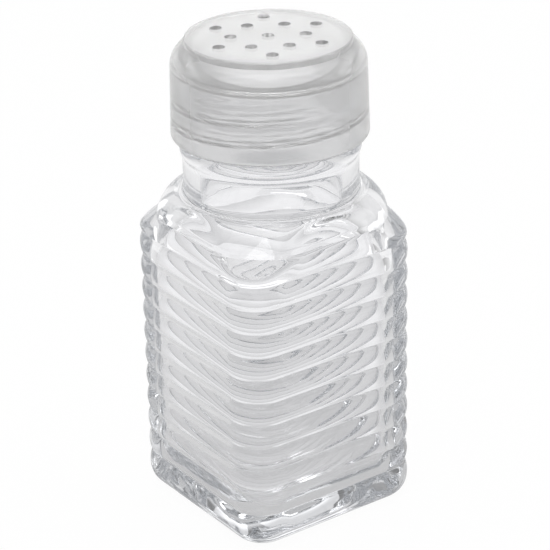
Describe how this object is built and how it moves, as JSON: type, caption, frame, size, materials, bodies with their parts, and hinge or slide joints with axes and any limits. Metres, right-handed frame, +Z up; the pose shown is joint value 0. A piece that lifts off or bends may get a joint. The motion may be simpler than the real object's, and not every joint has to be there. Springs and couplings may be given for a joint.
{
  "type": "salt shaker",
  "caption": "Square ribbed glass jar with a round neck, a soft seal on its lip and a clear screw cap pierced with pouring holes, for sprinkling salt at the table.",
  "frame": {"origin": "middle of the jar's foot, on the table", "axes": "+Z up through the jar and the cap; +X and +Y square out of two faces of the body; the picture looks at the -X and -Y faces"},
  "size_m": [0.0426, 0.0426, 0.0997],
  "materials": {
    "glass": "clear pressed glass, fire polished",
    "seal": "soft milky foil, dull",
    "cap_plastic": "clear moulded plastic, glossy"
  },
  "bodies": {
    "jar": {"glass_jar": "glass"},
    "seal": {"seal_ring": "seal"},
    "cap": {"screw_cap": "cap_plastic"}
  },
  "joints": [
    {"name": "cap_lift", "type": "slide", "parent": "jar", "child": "seal", "axis": [0, 0, 1], "range_m": [0, 0.01365]},
    {"name": "cap_turn", "type": "hinge", "parent": "seal", "child": "cap", "pos_m": [0, 0, 0.094], "axis": [0, 0, 1], "range_deg": [0, 1170]}
  ],
  "couplings": [
    {"joint": "cap_lift", "follows": "cap_turn", "m_per_rad": 0.00066845}
  ]
}
